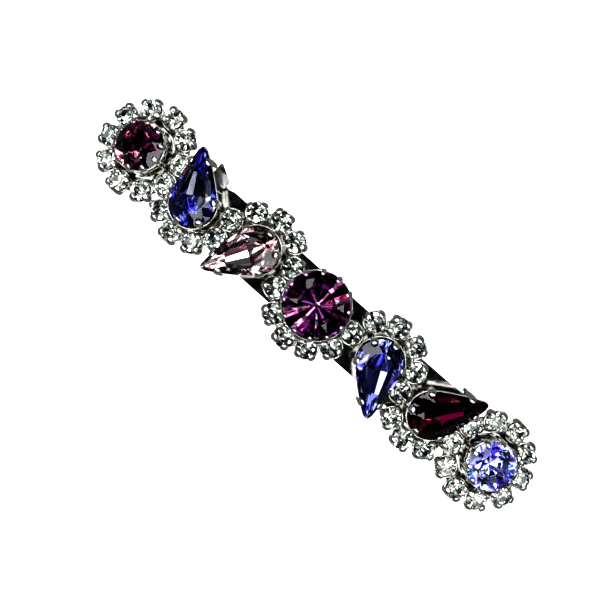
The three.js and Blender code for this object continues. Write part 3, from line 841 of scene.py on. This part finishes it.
large_claws = []
large_walls = []
for node, stone in large.items():
    radius = stone["radius"] + LARGE_GROWTH
    wall = loft_wall(f"{node}_wall", outline_of(stone, 72), middle_of(stone), tall_levels(radius))
    wall.transform(stone["seat"])
    # Material 1 is the nickel painted darker: painted shade on the walls under the stones.
    wall.polygons.foreach_set("material_index", [1] * len(wall.polygons))
    large_walls.append(wall)
    width = PEAR_CLAW_WIDTH if stone["pear"] else ROUND_CLAW_WIDTH
    blank = master_object(f"{node}_claw",
                          bend_claw(f"{node}_claw", width, curve_radius=radius, **LARGE_CLAW))
    seats = outline_seats(stone, claw_shares(node), radius, LARGE_GIRDLE_Z)
    made = stand_on_seats(f"{node}_claws", [stone["seat"] @ seat for seat in seats], blank, NICKEL)
    large_claws.append(made.data)
    masters.append(made)
large_cups = new_object("large_cups", join_meshes("large_cups", large_claws + large_walls))
coat(large_cups, NICKEL, NICKEL_PAINTED_SHADE)
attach(large_cups, "clip_top")
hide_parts("settings_left", "settings_right")
print("large cups", len(large_walls), "faces", len(large_cups.data.polygons))

# %% [markdown]
# ## Wires and rings
#
# Under the cups runs a wire that all of them are soldered to. At the two ends, past the spring clip, a
# flat ring closes the gap between the large cup and the cups around it. The wire tree draws the wires from
# the seats, and the rings are lofted like the cups.

# %% Join the cups underneath
WIRE_RADIUS = 0.42 * MM
WIRE_DROP = 0.1 * MM
RINGED = ("plum_round_stone", "lavender_blue_round_stone")
RING_LEVELS = [(3.4 * MM, -0.5 * MM), (5.9 * MM, -0.5 * MM), (6.05 * MM, -0.3 * MM), (5.9 * MM, -0.1 * MM),
               (3.4 * MM, -0.1 * MM)]
base_meshes = []
for node, seats in small.items():
    places = [seat @ Vector((0, 0, -WIRE_DROP)) for seat in seats]
    wire = wire_along(f"{node}_wire", places, node in RINGED, WIRE_RADIUS, NICKEL_PAINTED_SHADE)
    base_meshes.append(wire.data)
    masters.append(wire)
for node in RINGED:
    ring = loft_wall(f"{node}_ring", round_outline(72), Vector((0, 0)), RING_LEVELS)
    ring.transform(large[node]["seat"])
    base_meshes.append(ring)
# The wires and rings under the cups take the nickel painted darker, a painted shade.
base = new_object("back_wires", join_meshes("back_wires", base_meshes))
coat(base, NICKEL_PAINTED_SHADE)
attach(base, "clip_top")
print("faces under the cups", len(base.data.polygons))

# %% [markdown]
# ## Beads of solder
#
# A bead of solder joins each cup to the next one. A bead is a squashed ball, and the seat tree sets it
# half way between two seats, each one a little larger or smaller and turned another way.

# %% Drop the solder
DROP_RADIUS = 0.55 * MM
DROP_SHAPE = (1.15, 0.8, 0.75, 1)  # long from cup to cup, and flat
DROP_HEIGHT = 0.55 * MM  # over the foot of the cups
DROP_TILT = 0.3
DROP_SIZES = (0.8, 1.15)
DROP_TILT_SEED = 9
DROP_SIZE_SEED = 5


def solder_drop(name):
    bm = bmesh.new()
    bmesh.ops.create_icosphere(bm, subdivisions=2, radius=DROP_RADIUS, matrix=Matrix.Diagonal(DROP_SHAPE))
    return finish_mesh(bm, name)


drop = master_object("solder_drop", solder_drop("solder_drop"))
joints = []
for node, seats in small.items():
    pairs = list(zip(seats, seats[1:])) + ([(seats[-1], seats[0])] if node in RINGED else [])
    for one, other in pairs:
        middle = (one.translation + other.translation) / 2
        normal = (one.col[2].xyz + other.col[2].xyz).normalized()
        towards = other.translation - one.translation
        joints.append(seat_matrix(middle + normal * DROP_HEIGHT, normal, towards))
dice = random.Random(DROP_SIZE_SEED)
solder = stand_on_seats("solder_drops", joints, drop, SOLDER, None, DROP_TILT, DROP_TILT_SEED,
                        [dice.uniform(*DROP_SIZES) for _ in joints])
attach(solder, "clip_top")
print("solder drops", len(joints))

# %% [markdown]
# ## The spring clip
#
# The clip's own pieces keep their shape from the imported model. A stamped part never has a knife edge, so a
# copy of each one has its doubles merged, its flat faces cleaned and its edges rounded by a small bevel.
# Its edges are marked sharp first and its normals follow the largest faces, so that the arched plate
# mirrors the room evenly from one end to the other.

# %% Round the stamped parts
EDGE_ANGLE = math.radians(32)  # a steeper fold than this is an edge, and a shallower one is part of a curve
DOUBLES_WITHIN = 0.002 * MM
FLAT_WITHIN = math.radians(0.5)
# The top plate takes the nickel painted darker, a painted dark reflection of the room.
STAMPED = {  # the body that each part rides on, its finish, and its bevel in millimetres
    "top_plate": ("clip_top", NICKEL_PAINTED_SHADE, 0.38), "latch_base": ("clip_top", SPRING, 0.08),
    "latch_rivet": ("clip_top", NICKEL, 0.08), "hinge_pin": ("clip_top", NICKEL, 0.12),
    "clasp_arm": ("clasp_arm", NICKEL, 0.14), "latch_wing_front": ("latch_wing_front", SPRING, 0.08),
    "latch_wing_rear": ("latch_wing_rear", SPRING, 0.08), "tension_bar": ("tension_bar", SPRING, 0.1),
}


def stamped_copy(node, material, bevel):
    bm = bmesh.new()
    bm.from_mesh(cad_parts[node].data)
    bmesh.ops.remove_doubles(bm, verts=bm.verts, dist=DOUBLES_WITHIN)
    bmesh.ops.dissolve_limit(bm, angle_limit=FLAT_WITHIN, verts=bm.verts, edges=bm.edges)
    made = new_object(f"{node}_formed", finish_mesh(bm, f"{node}_formed"))
    made.data.set_sharp_from_angle(angle=EDGE_ANGLE)
    rounder = made.modifiers.new("rounded_edges", "BEVEL")
    rounder.width = bevel * MM
    rounder.segments = 3
    rounder.limit_method = "ANGLE"
    rounder.angle_limit = EDGE_ANGLE
    rounder.harden_normals = True
    evener = made.modifiers.new("even_shading", "WEIGHTED_NORMAL")
    evener.weight = 100
    coat(made, material)
    return made


for node, (body, material, bevel) in STAMPED.items():
    made = stamped_copy(node, material, bevel)
    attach(made, body)
    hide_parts(node)
    print(node, "on", body, "faces before its bevel", len(made.data.polygons))

# %% [markdown]
# ## Put the master pieces away
#
# The tree has made its copies real, so the masters are deleted and only the finished pieces stay.

# %% Remove the masters
for master in masters:
    bpy.data.objects.remove(master)
print("masters removed", len(masters))

# %% [markdown]
# ## Floor
#
# The floor is plain pale paper that fills the background with white. It lies well below the clip, so that
# the arm has room to swing open. Only the camera sees it bright. To the stones and the metal it is a dim
# card, so that it doesn't wash out their dark facets.

# %% Floor
FLOOR_DROP = 62 * MM
FLOOR_RADIUS = 1.1
FLOOR_GLOW = 0.8
FLOOR_IN_MIRRORS = (0.13, 0.13, 0.13, 1)
floor_mesh = bpy.data.meshes.new("floor")
floor_edge = [(FLOOR_RADIUS * p.x, FLOOR_RADIUS * p.y, -FLOOR_DROP) for p in round_outline(96)]
floor_mesh.from_pydata(floor_edge, [], [list(range(len(floor_edge)))])
floor = new_object("floor", floor_mesh)
floor_material, floor_tree, floor_shader = new_material("pale_paper", Roughness=0.9)
paper = noise_on_object(floor_tree, 30.0)
paper_colour = ramp_from(floor_tree, paper.outputs["Fac"],
                         [(0.3, (0.93, 0.93, 0.93)), (0.7, (0.96, 0.96, 0.96))])
ray = floor_tree.nodes.new("ShaderNodeLightPath")
card = floor_tree.nodes.new("ShaderNodeMix")
card.data_type = "RGBA"
card.inputs["A"].default_value = FLOOR_IN_MIRRORS
floor_tree.links.new(ray.outputs["Is Camera Ray"], card.inputs["Factor"])
floor_tree.links.new(paper_colour.outputs["Color"], card.inputs["B"])
floor_tree.links.new(card.outputs["Result"], floor_shader.inputs["Base Color"])
glow = floor_tree.nodes.new("ShaderNodeMath")
glow.operation = "MULTIPLY"
glow.inputs[1].default_value = FLOOR_GLOW
floor_tree.links.new(ray.outputs["Is Camera Ray"], glow.inputs[0])
floor_tree.links.new(glow.outputs["Value"], floor_shader.inputs["Emission Strength"])
floor_shader.inputs["Emission Color"].default_value = (1, 1, 1, 1)
coat(floor, floor_material)
print("floor", round(FLOOR_DROP / MM), "mm below the clip")

# %% [markdown]
# ## Lamps
#
# Cut stones and mirrors show the room, so the lamps are what shapes them. Straight overhead the ceiling
# stays dark, which keeps the plate and many facets black. Two rows of soft lamps stand on each side of
# that dark band, one more hangs off each end of the clip, and four small bright ones make the hard
# flashes.

# %% Lamps
LAMP_DISTANCE = 0.8
SOFT_LAMPS = [  # slant from overhead along X and along Y, width and depth, all in degrees, and radiance
    (-40, 17, 26, 11, 3.6), (-6, 18, 30, 11, 3.6), (34, 17, 30, 11, 3.6), (-24, 35, 26, 14, 3.6),
    (14, 36, 30, 13, 3.6), (46, 36, 18, 12, 3), (-50, 36, 12, 12, 3),
    (-34, -18, 28, 11, 3.6), (0, -17, 26, 11, 3.6), (36, -18, 28, 11, 3.6), (-48, -35, 18, 12, 3),
    (-16, -36, 30, 13, 3.6), (22, -36, 26, 13, 3.6), (50, -36, 12, 12, 3),
    (51, 3, 8, 14, 3.5), (-48, -3, 10, 14, 3.5),
]
SPARK_LAMPS = [(x, y, 3, 3, 60) for x, y in ((-20, 25), (26, -26), (6, 27), (-8, -26))]
clip_middle = Vector([(a + b) / 2 for a, b in zip(*cad_box)])


def span(degrees):
    """How wide a lamp is that fills this angle, seen from the clip."""
    return 2 * LAMP_DISTANCE * math.tan(math.radians(degrees / 2))


def add_lamp(name, slant_x, slant_y, width, depth, radiance):
    lamp = bpy.data.lights.new(name, "AREA")
    lamp.shape = "RECTANGLE"
    lamp.size = span(width)
    lamp.size_y = span(depth)
    lamp.energy = radiance * math.pi * lamp.size * lamp.size_y
    slope = (math.tan(math.radians(slant_x)), math.tan(math.radians(slant_y)), 1)
    direction = Vector(slope).normalized()
    across = Vector((0, 1, 0)).cross(direction).normalized()
    holder = new_object(name, lamp)
    holder.matrix_world = standing_at(clip_middle + direction * LAMP_DISTANCE,
                                      across, direction.cross(across), direction)
    holder.visible_camera = False


for i, lamp_row in enumerate(SOFT_LAMPS + SPARK_LAMPS):
    add_lamp(f"lamp_{i}", *lamp_row)
print("lamps", len(bpy.data.lights))

# %% [markdown]
# ## The room
#
# Between the lamps the room is nearly black overhead and a dim grey at the horizon. The camera sees plain
# white past the floor's edge instead.

# %% Room
ROOM_WHITE = (1.0, 1.0, 1.0, 1)
world = bpy.data.worlds.new("room")
world.use_nodes = True
room = world.node_tree
looking = room.nodes.new("ShaderNodeTexCoord")
upward = room.nodes.new("ShaderNodeSeparateXYZ")
room.links.new(looking.outputs["Generated"], upward.inputs["Vector"])
sky = ramp_from(room, upward.outputs["Z"], [(0.0, (0.2, 0.21, 0.22)), (0.4, (0.015, 0.015, 0.02))])
path = room.nodes.new("ShaderNodeLightPath")
seen = room.nodes.new("ShaderNodeMix")
seen.data_type = "RGBA"
seen.inputs["B"].default_value = ROOM_WHITE
room.links.new(path.outputs["Is Camera Ray"], seen.inputs["Factor"])
room.links.new(sky.outputs["Color"], seen.inputs["A"])
room.links.new(seen.outputs["Result"], room.nodes["Background"].inputs["Color"])
scene.world = world
scene.view_settings.view_transform = "Standard"
scene.view_settings.look = "High Contrast"
print("room", world.name)

# %% [markdown]
# ## Camera
#
# The camera looks almost straight down through a long lens, and it is rolled so that the clip lies from
# the upper left to the lower right.

# %% Camera
CAMERA = Vector((-4.9, 19.5, 487.9)) * MM
AIM = Vector((-2.5, -1.03, 12)) * MM
ROLL = math.radians(-41.58)
LENS = 181.8
camera_data = bpy.data.cameras.new("camera")
camera_data.lens = LENS
camera_data.clip_start = 10 * MM
camera = new_object("camera", camera_data)
view = (AIM - CAMERA).normalized()
up_hint = Vector((math.sin(ROLL), math.cos(ROLL), 0))
right = view.cross(up_hint).normalized()
camera.matrix_world = standing_at(CAMERA, right, right.cross(view), -view)
scene.camera = camera
print("camera distance mm", round((AIM - CAMERA).length / MM))
